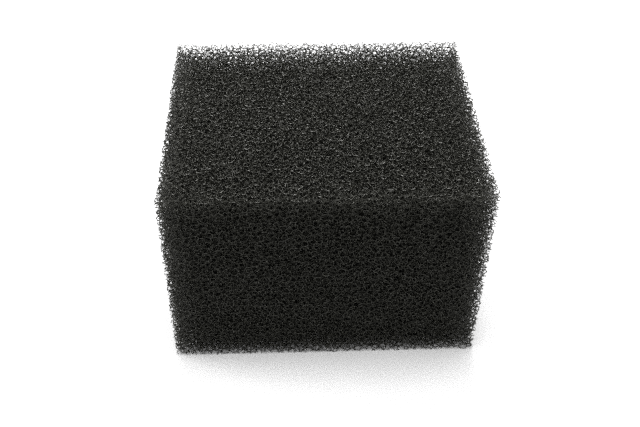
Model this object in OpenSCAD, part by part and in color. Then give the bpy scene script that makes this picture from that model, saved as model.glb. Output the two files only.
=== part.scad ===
// Sponge filter block: one block of open-cell filter foam, cut square on
// all six sides. It is pressed into a filter chamber or stands on its base.
// Millimetres, +Z up. The origin is at the middle of the base, the front
// face looks along -Y, and the block's long side lies along X.

/* [Foam block] */
// Width of the block, its longest side, along X
block_w = 120; // [110:1:300]
// Depth of the block from its front face to its back face, along Y
block_d = 103; // [90:1:109]
// Height of the block, its shortest side, along Z
block_h = 82; // [20:1:89]

/* [Hidden] */
// Colour of the foam, a charcoal black
foam_colour = [0.10, 0.10, 0.10];

// The foam is soft and full of pores, but its six cut faces are flat and
// square to each other, so its outer shape is a plain closed block.
module foam_block() {
    color(foam_colour)
        translate([-block_w / 2, -block_d / 2, 0])
            cube([block_w, block_d, block_h]);
}

foam_block();
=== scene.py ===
"""Sponge filter block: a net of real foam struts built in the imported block's box.

The foam is open-cell filter foam. Its cells are the Voronoi cells of evenly
spread centres, and what is left of each cell is the net of struts along its
edges. Every strut runs from one junction to the next, four meet at a
junction, and the block's six faces cut the net off flat, as a foam saw does.
"""

import math
from itertools import combinations

import bmesh
import bpy
import numpy as np
from mathutils import Matrix, Vector, noise
from mathutils.kdtree import KDTree


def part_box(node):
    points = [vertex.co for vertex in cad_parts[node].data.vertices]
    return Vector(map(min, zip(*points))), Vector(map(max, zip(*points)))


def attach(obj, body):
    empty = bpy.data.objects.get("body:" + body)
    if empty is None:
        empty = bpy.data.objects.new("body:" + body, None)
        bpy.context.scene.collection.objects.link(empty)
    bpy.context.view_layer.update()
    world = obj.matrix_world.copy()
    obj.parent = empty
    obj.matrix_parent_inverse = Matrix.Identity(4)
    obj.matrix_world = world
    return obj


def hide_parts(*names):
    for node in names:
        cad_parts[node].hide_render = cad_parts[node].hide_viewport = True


NODE = "foam_block"
BODY = "root"

# The foam, in metres
CELL = 0.0026            # a cell's width: the ball that has its volume
STRUT = 0.000145         # from a strut's axis to its corners
THICK = (0.8, 1.2)       # how much junctions differ in thickness
SHELL = 0.006            # depth of the net below each face, down to the painted shade core
SHADE_CORE_ROUND = 0.010      # radius of the painted shade core's edges, where the net goes deeper
SHADE_CORE_DENT = 0.0006      # height of the dents in the painted shade core
SHADE_CORE_CUTS = 60          # cuts across each of its sides
STRETCH = np.array((1.16, 0.93, 0.93))    # the foam rose along X, so its cells are longer
MARGIN = 1.6             # how far cells are made past the net, in cell widths
SHAKE = 0.36             # how far centres are shaken off the lattice, in spacings
SPREAD_STEPS = 3         # how often centres push each other apart
SPREAD_NEAR = 14         # how many neighbours push a centre
SPREAD_REACH = 1.12      # centres nearer than this push each other, in spacings
SPREAD_PUSH = 0.35       # how much of that shortfall one step makes up
ROUND_STEPS = 2          # how often junctions move to the middle of their neighbours
RAGGED = 0.00018         # how unevenly the saw leaves the ends of the struts
SHORTEST = 0.08          # the part of a strut that the saw leaves at the least
RIM_LEAN = 0.67          # how far the shading leans out over a cut end
CORNER_SINE = 0.943      # sine of the angle from a strut to the corners of its junction
NEAR = 26                # neighbours that a cell may share a corner with
BRICKS = (4, 3, 3)       # pieces that the net is made in, along X, Y and Z
SEED = 7

# The foam's colours and gloss
STRUT_DARK = (0.0062, 0.0064, 0.0046)
STRUT_LIGHT = (0.0134, 0.0134, 0.0102)
STRUT_SHINE = (1.0, 1.0, 0.90)
STRUT_GLOSS = 0.61
STRUT_ROUGH = 0.26
ROUGH_RANGE = 0.08       # how much the struts' roughness varies either way
# Painted shade: a near-black core stands in for the foam's depths, which are dark only
# because little light reaches them
SHADE_CORE_DARK = (0.003, 0.003, 0.003)
SHADE_CORE_LIGHT = (0.008, 0.008, 0.007)

# The paper that the block stands on
PAPER_DARK = (0.84, 0.84, 0.84)
PAPER_LIGHT = (0.86, 0.86, 0.86)
PAPER_SIZE = 16          # its width, in metres
PAPER_LIT = (0.8, 1.8)   # it glows more and more from the first distance to the second,
PAPER_GLOW = 0.45        # up to this much, so that it meets the white walls without an edge

# The studio: name, place and size in metres, and power in watts of each soft box
LAMPS = (("overhead", (0.0, 0.0, 1.3), 0.6, 12.0),
         ("behind", (0.0, 1.2, 0.58), 0.6, 17.0),
         ("left", (-1.0, 0.3, 0.8), 0.5, 5.5))
FRONT_GLOW = 0.70        # brightness of the surroundings on the camera's side
BACK_GLOW = 0.80         # and behind the block
GLOW_FADE = 0.15         # half the width of the band in which one fades into the other

# The camera: yaw, pitch and roll in degrees, focal length in millimetres, and place
# in widths of the block
CAMERA_TURN = (2.938, 42.138, 0.895)
CAMERA_LENS = 50.40
CAMERA_PLACE = (-0.1238, -2.3534, 2.3754)

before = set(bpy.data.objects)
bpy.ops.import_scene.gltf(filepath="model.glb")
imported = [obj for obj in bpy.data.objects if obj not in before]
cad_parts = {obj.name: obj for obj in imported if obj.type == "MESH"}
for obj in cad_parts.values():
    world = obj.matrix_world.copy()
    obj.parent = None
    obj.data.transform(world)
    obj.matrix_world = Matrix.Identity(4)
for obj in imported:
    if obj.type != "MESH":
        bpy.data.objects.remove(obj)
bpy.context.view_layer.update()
LOW, HIGH = (np.array(corner, float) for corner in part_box(NODE))
rng = np.random.default_rng(SEED)


# ---------------------------------------------------------------- foam cells

def depth_below(points):
    """How far each point lies below the nearest face; outside it is negative."""
    return np.minimum(points - LOW, HIGH - points).min(1)


def above_shade_core(points):
    """How far each point lies outside the painted shade core, a box with rounded edges."""
    straight = (HIGH - LOW) / 2 - SHELL - SHADE_CORE_ROUND
    beyond = np.abs(points - (LOW + HIGH) / 2) - straight
    outside = np.linalg.norm(np.clip(beyond, 0, None), axis=1)
    return outside + np.clip(beyond.max(1), None, 0) - SHADE_CORE_ROUND


def cell_centres():
    """Evenly spread centres of cells that are not stretched yet, outside the painted shade
    core.
    """
    edge = (2 * math.pi / 6) ** (1 / 3) * CELL     # cube of a lattice with 2 cells in it
    margin = MARGIN * CELL
    low, high = LOW / STRETCH, HIGH / STRETCH
    counts = np.ceil((high - low + 2 * margin) / edge).astype(int)
    grid = np.stack(np.meshgrid(*map(np.arange, counts), indexing="ij"), -1)
    grid = grid.reshape(-1, 3).astype(float)
    points = low - margin + edge * np.concatenate([grid, grid + 0.5])
    spacing = edge * math.sqrt(3) / 2
    points += rng.normal(0, SHAKE * spacing, points.shape)
    points = points[above_shade_core(points * STRETCH) > -margin]
    for _ in range(SPREAD_STEPS):
        near = neighbours(points, SPREAD_NEAR)
        away = points[:, None] - points[near]
        far = np.linalg.norm(away, axis=2)
        push = np.clip(SPREAD_REACH * spacing - far, 0, None) / far * SPREAD_PUSH
        points = points + (away * push[..., None]).sum(1)
    return points[rng.permutation(len(points))]


def neighbours(points, count):
    """The numbers of the nearest points to each point, without the point itself."""
    tree = KDTree(len(points))
    for i, p in enumerate(points):
        tree.insert(p, i)
    tree.balance()
    return np.array([[i for _, i, _ in tree.find_n(p, count + 1)[1:]] for p in points])


def cell_corners(points):
    """Corners where four cells meet: their place, and the numbers of the four cells."""
    near = neighbours(points, NEAR)
    triples = np.array(list(combinations(range(NEAR), 3)))
    found_at, found_cells = [], []
    for first in range(0, len(points), 256):
        own = np.arange(first, min(first + 256, len(points)))
        away = points[near[own]] - points[own, None]
        half = (away ** 2).sum(2) / 2
        later = near[own] > own[:, None]
        row, t = np.nonzero(later[:, triples].all(2))
        a, b, c = (away[row, triples[t, k]] for k in range(3))
        ha, hb, hc = (half[row, triples[t, k]][:, None] for k in range(3))
        bc = np.cross(b, c)
        volume = (a * bc).sum(1)[:, None]
        volume[np.abs(volume) < 1e-14] = 1e-14
        corner = (ha * bc + hb * np.cross(c, a) + hc * np.cross(a, b)) / volume
        close = (corner ** 2).sum(1) < CELL ** 2
        row, t, corner = row[close], t[close], corner[close]
        inside = np.einsum("nk,njk->nj", corner, away[row]) - half[row]
        inside[np.arange(len(row))[:, None], triples[t]] = -1
        empty = (inside < 0).all(1)
        row, t, corner = row[empty], t[empty], corner[empty]
        found_at.append(points[own[row]] + corner)
        cells = np.column_stack([own[row], near[own[row][:, None], triples[t]]])
        found_cells.append(np.sort(cells, axis=1))
    return np.concatenate(found_at), np.concatenate(found_cells)


# ---------------------------------------------------------------- struts

# A junction's four cells are numbered 0 to 3, and strut k leaves it between the
# three cells other than cell k. A junction has one corner on the side of each
# cell, so a strut has the three corners of its own three cells at each end.
TRIOS = np.array([[m for m in range(4) if m != k] for k in range(4)])


def partners(cells):
    """For each junction's four struts, the junction at the other end and its strut there."""
    total = np.int64(cells.max()) + 1
    trio = cells[:, TRIOS].astype(np.int64)
    key = ((trio[..., 0] * total + trio[..., 1]) * total + trio[..., 2]).ravel()
    order = np.argsort(key, kind="stable")
    same = key[order[1:]] == key[order[:-1]]
    same[1:] &= ~same[:-1]                         # a key found three times is one pair
    a, b = order[:-1][same], order[1:][same]
    other = np.full(len(key), -1)
    other[a], other[b] = b, a
    return other.reshape(-1, 4)


def rounded(at, other):
    """Junctions moved to the middle of their neighbours, which rounds the windows."""
    inner = (other >= 0).all(1)
    for _ in range(ROUND_STEPS):
        middle = at[other[inner] // 4].mean(1)
        at = at.copy()
        at[inner] += 0.5 * (middle - at[inner])
    return at


def unit(vectors):
    """The vectors, each scaled to a length of 1."""
    return vectors / np.linalg.norm(vectors, axis=-1, keepdims=True)


def junction_corners(at, other, cells, centres):
    """Each junction's four corners, each straight across from a strut, and their normals."""
    away = centres[cells] - at[:, None]
    for k in range(4):
        linked = other[:, k] >= 0
        away[linked, k] = at[linked] - at[other[linked, k] // 4]
    away = unit(away)
    reach = STRUT / CORNER_SINE * rng.uniform(*THICK, len(at))
    return at[:, None] + reach[:, None, None] * away, away


def cut_ends(start, end):
    """Where the saw cuts struts that leave the block, for each of their edge lines."""
    skew = np.abs(rng.normal(0, RAGGED, len(start)))[:, None, None]
    step = np.where(np.abs(end - start) < 1e-9, 1e-9, end - start)
    part = np.where(end < LOW + skew, (LOW + skew - start) / step,
                    np.where(end > HIGH - skew, (HIGH - skew - start) / step, 1.0))
    part = np.clip(part.min(2), SHORTEST, 1.0)[..., None]
    return start + part * (end - start)


def rim_normals(start, end):
    """Normals round a cut end, which lean out over the cut."""
    middle = end.mean(1, keepdims=True)
    along = unit(middle - start.mean(1, keepdims=True))
    return unit(unit(end - middle) + RIM_LEAN * along)


def held(kept, deep, other):
    """The kept junctions that a chain of struts joins to the deep foam, so none floats."""
    partner = np.where(other >= 0, other // 4, 0)
    linked = (other >= 0) & kept[partner]
    fast = kept & ((other >= 0) & deep[partner]).any(1)
    while True:
        more = kept & ~fast & (linked & fast[partner]).any(1)
        if not more.any():
            return fast
        fast |= more


def make_net():
    """All the struts and junctions of the shell, as the arrays that bricks are cut from."""
    centres = cell_centres()
    at, cells = cell_corners(centres)
    at, centres = at * STRETCH, centres * STRETCH
    other = partners(cells)
    at = rounded(at, other)
    depth = depth_below(at)
    above = above_shade_core(at)
    kept = held((depth > 0) & (above > 0), above <= 0, other)
    corners, normals = junction_corners(at, other, cells, centres)

    near_end = np.flatnonzero(other.ravel() >= 0)
    far_end = other.ravel()[near_end]
    starts = kept[near_end // 4] & (~kept[far_end // 4] | (near_end < far_end))
    near_end, far_end = near_end[starts], far_end[starts]
    start = corners[near_end[:, None] // 4, TRIOS[near_end % 4]]
    end = corners[far_end[:, None] // 4, TRIOS[far_end % 4]]
    end_normals = normals[far_end[:, None] // 4, TRIOS[far_end % 4]]
    cut = depth[far_end // 4] <= 0
    end[cut] = cut_ends(start[cut], end[cut])
    end_normals[cut] = rim_normals(start[cut], end[cut])
    part = np.clip(((at - LOW) / (HIGH - LOW) * BRICKS).astype(int), 0,
                   np.array(BRICKS) - 1)
    return {"kept": kept, "part": part, "corners": corners, "normals": normals,
            "near": near_end, "far": far_end, "end": end, "end_normals": end_normals}


def backward(corners, triangles, way):
    """Which triangles don't face the way that they should."""
    a, b, c = (corners[triangles[:, k]] for k in range(3))
    return (np.cross(b - a, c - a) * way).sum(1) < 0


def stub_triangles(corners, junctions, taken):
    """Triangles that close the junctions where no strut of the brick leaves them."""
    open_at, open_k = np.nonzero(~taken[junctions])
    stubs = 4 * open_at[:, None] + TRIOS[open_k]
    outward = corners[stubs].mean(1) - corners[4 * open_at + open_k]
    back = backward(corners, stubs, outward)
    stubs[back] = stubs[back, ::-1]
    return stubs


def brick_faces(net, mine):
    """Corners, their normals, triangles and squares of one brick's closed mesh."""
    junctions = np.flatnonzero(mine)
    place = np.full(len(mine), -1)
    place[junctions] = np.arange(len(junctions))
    corners = [net["corners"][junctions].reshape(-1, 3)]

    owned = mine[net["near"] // 4]
    near, far, end = (net[k][owned] for k in ("near", "far", "end"))
    near_ring = 4 * place[near // 4][:, None] + TRIOS[near % 4]
    far_ring = 4 * place[far // 4][:, None] + TRIOS[far % 4]
    ends_here = ~mine[far // 4]
    far_ring[ends_here] = len(corners[0]) + np.arange(3 * ends_here.sum()).reshape(-1, 3)
    corners.append(end[ends_here].reshape(-1, 3))
    corners = np.concatenate(corners)
    normals = np.concatenate([net["normals"][junctions].reshape(-1, 3),
                              net["end_normals"][owned][ends_here].reshape(-1, 3)])

    along = corners[far_ring].mean(1) - corners[near_ring].mean(1)
    back = backward(corners, near_ring, along)
    near_ring[back] = near_ring[back, ::-1]
    far_ring[back] = far_ring[back, ::-1]
    squares = [np.column_stack([near_ring[:, k], near_ring[:, j],
                                far_ring[:, j], far_ring[:, k]])
               for k, j in ((0, 1), (1, 2), (2, 0))]
    caps = far_ring[ends_here]

    taken = np.zeros((len(mine), 4), bool)
    taken.ravel()[near] = True
    taken.ravel()[far[~ends_here]] = True
    stubs = stub_triangles(corners, junctions, taken)
    return corners, normals, np.concatenate([stubs, caps]), np.concatenate(squares)


def mesh_of(name, corners, normals, triangles, squares):
    """A mesh shaded with the whole net's normals, so that bricks meet without a seam."""
    mesh = bpy.data.meshes.new(name)
    loops = np.concatenate([triangles.ravel(), squares.ravel()])
    starts = np.concatenate([3 * np.arange(len(triangles)),
                             3 * len(triangles) + 4 * np.arange(len(squares))])
    mesh.vertices.add(len(corners))
    mesh.vertices.foreach_set("co", corners.astype(np.float32).ravel())
    mesh.loops.add(len(loops))
    mesh.loops.foreach_set("vertex_index", loops.astype(np.int32))
    mesh.polygons.add(len(starts))
    mesh.polygons.foreach_set("loop_start", starts.astype(np.int32))
    mesh.update(calc_edges=True)
    shading = mesh.attributes.new("custom_normal", "FLOAT_VECTOR", "POINT")
    shading.data.foreach_set("vector", normals.astype(np.float32).ravel())
    return mesh


def make_bricks():
    """The shell's net of struts, as one closed mesh for each brick of the block."""
    net = make_net()
    bricks = []
    for x, y, z in np.ndindex(*BRICKS):
        mine = net["kept"] & (net["part"] == (x, y, z)).all(1)
        if not mine.any():
            continue
        name = f"foam_{x + 1}{y + 1}{z + 1}"
        brick = bpy.data.objects.new(name, mesh_of(name, *brick_faces(net, mine)))
        bpy.context.scene.collection.objects.link(brick)
        bricks.append(brick)
    return bricks


def make_shade_core():
    """Painted shade: a dark, closed core in the middle of the block, standing in for the
    shaded depths of the foam; it shows only as the bottom of the pores.
    """
    shape = bmesh.new()
    bmesh.ops.create_cube(shape, size=2)
    bmesh.ops.subdivide_edges(shape, edges=shape.edges, cuts=SHADE_CORE_CUTS, use_grid_fill=True)
    middle, half = (LOW + HIGH) / 2, (HIGH - LOW) / 2 - SHELL
    for corner in shape.verts:
        box = np.array(corner.co) * half
        straight = np.clip(box, SHADE_CORE_ROUND - half, half - SHADE_CORE_ROUND)
        out = box - straight
        far = np.linalg.norm(out)
        dent = SHADE_CORE_DENT * noise.noise(Vector(box / CELL))
        corner.co = middle + straight + out / max(far, 1e-9) * (SHADE_CORE_ROUND + dent)
    mesh = bpy.data.meshes.new("foam_shade_core")
    shape.to_mesh(mesh)
    shape.free()
    shade_core = bpy.data.objects.new("foam_shade_core", mesh)
    bpy.context.scene.collection.objects.link(shade_core)
    return shade_core


# ---------------------------------------------------------------- materials

def new_material(name):
    """A new material, its node tree and its shader."""
    material = bpy.data.materials.new(name)
    material.use_nodes = True
    return material, material.node_tree, material.node_tree.nodes["Principled BSDF"]


def add_noise(tree, scale, detail):
    """A noise in the object's own space, in patches of about 1 / scale metres."""
    place = tree.nodes.new("ShaderNodeTexCoord")
    mottle = tree.nodes.new("ShaderNodeTexNoise")
    mottle.inputs["Scale"].default_value = scale
    mottle.inputs["Detail"].default_value = detail
    tree.links.new(place.outputs["Object"], mottle.inputs["Vector"])
    return mottle


def add_tones(tree, factor, low, dark, high, light):
    """A colour ramp from the dark tone at factor low to the light tone at factor high."""
    tone = tree.nodes.new("ShaderNodeValToRGB")
    tone.color_ramp.elements[0].position = low
    tone.color_ramp.elements[0].color = (*dark, 1)
    tone.color_ramp.elements[1].position = high
    tone.color_ramp.elements[1].color = (*light, 1)
    tree.links.new(factor, tone.inputs["Fac"])
    return tone


def strut_material():
    """Charcoal polyurethane: a satin plastic skin, uneven in tone and in gloss."""
    material, tree, shader = new_material("foam_struts")
    mottle = add_noise(tree, scale=400, detail=3)
    tone = add_tones(tree, mottle.outputs["Fac"], 0.35, STRUT_DARK, 0.70, STRUT_LIGHT)
    tree.links.new(tone.outputs["Color"], shader.inputs["Base Color"])
    gloss = add_noise(tree, scale=900, detail=1)
    rough = tree.nodes.new("ShaderNodeMapRange")
    rough.inputs["To Min"].default_value = STRUT_ROUGH - ROUGH_RANGE
    rough.inputs["To Max"].default_value = STRUT_ROUGH + ROUGH_RANGE
    tree.links.new(gloss.outputs["Fac"], rough.inputs["Value"])
    tree.links.new(rough.outputs["Result"], shader.inputs["Roughness"])
    shader.inputs["Specular IOR Level"].default_value = STRUT_GLOSS
    shader.inputs["Specular Tint"].default_value = (*STRUT_SHINE, 1)
    return material


def shade_core_material():
    """Painted shade for the foam's depth: nearly black, a little lighter from cell to cell.
    """
    material, tree, shader = new_material("foam_shade_core")
    place = tree.nodes.new("ShaderNodeTexCoord")
    cells = tree.nodes.new("ShaderNodeTexVoronoi")
    cells.inputs["Scale"].default_value = 1 / CELL
    tree.links.new(place.outputs["Object"], cells.inputs["Vector"])
    tone = add_tones(tree, cells.outputs["Distance"], 0.0, SHADE_CORE_DARK, 1.0, SHADE_CORE_LIGHT)
    tree.links.new(tone.outputs["Color"], shader.inputs["Base Color"])
    shader.inputs["Roughness"].default_value = 0.9
    shader.inputs["Specular IOR Level"].default_value = 0.1
    return material


def paper_material():
    """White studio paper that glows away from the block."""
    material, tree, shader = new_material("paper_sweep")
    fibre = add_noise(tree, scale=60, detail=4)
    tone = add_tones(tree, fibre.outputs["Fac"], 0.3, PAPER_DARK, 0.7, PAPER_LIGHT)
    tree.links.new(tone.outputs["Color"], shader.inputs["Base Color"])
    place = tree.nodes.new("ShaderNodeTexCoord")
    away = tree.nodes.new("ShaderNodeVectorMath")
    away.operation = "LENGTH"
    tree.links.new(place.outputs["Object"], away.inputs[0])
    lit = tree.nodes.new("ShaderNodeMapRange")
    lit.inputs["From Min"].default_value = PAPER_LIT[0]
    lit.inputs["From Max"].default_value = PAPER_LIT[1]
    lit.inputs["To Max"].default_value = PAPER_GLOW
    tree.links.new(away.outputs["Value"], lit.inputs["Value"])
    shader.inputs["Emission Color"].default_value = (1, 1, 1, 1)
    tree.links.new(lit.outputs["Result"], shader.inputs["Emission Strength"])
    shader.inputs["Roughness"].default_value = 0.9
    return material


# ---------------------------------------------------------------- studio

def make_floor():
    """The sheet of paper."""
    bpy.ops.mesh.primitive_plane_add(size=PAPER_SIZE)
    floor = bpy.context.object
    floor.name = "floor"
    floor.data.materials.append(paper_material())


def make_lamp(name, place, size, watts):
    """A square soft box that looks at the block."""
    light = bpy.data.lights.new(name, "AREA")
    light.size = size
    light.energy = watts
    lamp = bpy.data.objects.new(name, light)
    lamp.location = place
    way = Vector((0, 0, 0.04)) - Vector(place)
    lamp.rotation_euler = way.to_track_quat("-Z", "Y").to_euler()
    bpy.context.scene.collection.objects.link(lamp)


def make_surroundings():
    """White walls all round, which light the block's front less than its back."""
    world = bpy.data.worlds.new("studio")
    world.use_nodes = True
    nodes, links = world.node_tree.nodes, world.node_tree.links
    way = nodes.new("ShaderNodeTexCoord")
    parts = nodes.new("ShaderNodeSeparateXYZ")
    links.new(way.outputs["Generated"], parts.inputs["Vector"])
    fade = nodes.new("ShaderNodeMapRange")
    fade.inputs["From Min"].default_value = -GLOW_FADE
    fade.inputs["From Max"].default_value = GLOW_FADE
    fade.inputs["To Min"].default_value = FRONT_GLOW
    fade.inputs["To Max"].default_value = BACK_GLOW
    links.new(parts.outputs["Y"], fade.inputs["Value"])
    seen = nodes.new("ShaderNodeLightPath")
    glow = nodes.new("ShaderNodeMix")
    glow.inputs["B"].default_value = 1.0
    links.new(seen.outputs["Is Camera Ray"], glow.inputs["Factor"])
    links.new(fade.outputs["Result"], glow.inputs["A"])
    back = nodes["Background"]
    back.inputs["Color"].default_value = (1, 1, 1, 1)
    links.new(glow.outputs["Result"], back.inputs["Strength"])
    bpy.context.scene.world = world


def make_studio():
    """The paper, the lamps, the walls and how the picture is developed."""
    make_floor()
    for name, place, size, watts in LAMPS:
        make_lamp(name, place, size, watts)
    make_surroundings()
    bpy.context.scene.view_settings.view_transform = "Standard"
    # The struts are finer than a pixel, and denoising smooths them
    bpy.context.scene.cycles.use_denoising = False


def make_camera():
    """The camera: in front of the block, high up, and turned by a little."""
    width = HIGH[0] - LOW[0]
    yaw, pitch, roll = map(math.radians, CAMERA_TURN)
    data = bpy.data.cameras.new("camera")
    data.sensor_width = 36
    data.lens = CAMERA_LENS
    camera = bpy.data.objects.new("camera", data)
    ahead = Vector((math.sin(yaw) * math.cos(pitch), math.cos(yaw) * math.cos(pitch),
                    -math.sin(pitch)))
    right = Vector((math.cos(yaw), -math.sin(yaw), 0))
    up = right.cross(ahead)
    side = math.cos(roll) * right + math.sin(roll) * up
    top = -math.sin(roll) * right + math.cos(roll) * up
    axes = Matrix((side, top, -ahead)).transposed()
    place = Vector(CAMERA_PLACE) * width
    camera.matrix_world = Matrix.Translation(place) @ axes.to_4x4()
    bpy.context.scene.collection.objects.link(camera)
    bpy.context.scene.camera = camera


make_camera()
make_studio()
struts = strut_material()
pieces = make_bricks()
for piece in pieces:
    piece.data.materials.append(struts)
# A near-black core of painted shade fills the middle, where the foam is in deep shade
shade_core = make_shade_core()
shade_core.data.materials.append(shade_core_material())
for piece in pieces + [shade_core]:
    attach(piece, BODY)
    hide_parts(NODE)
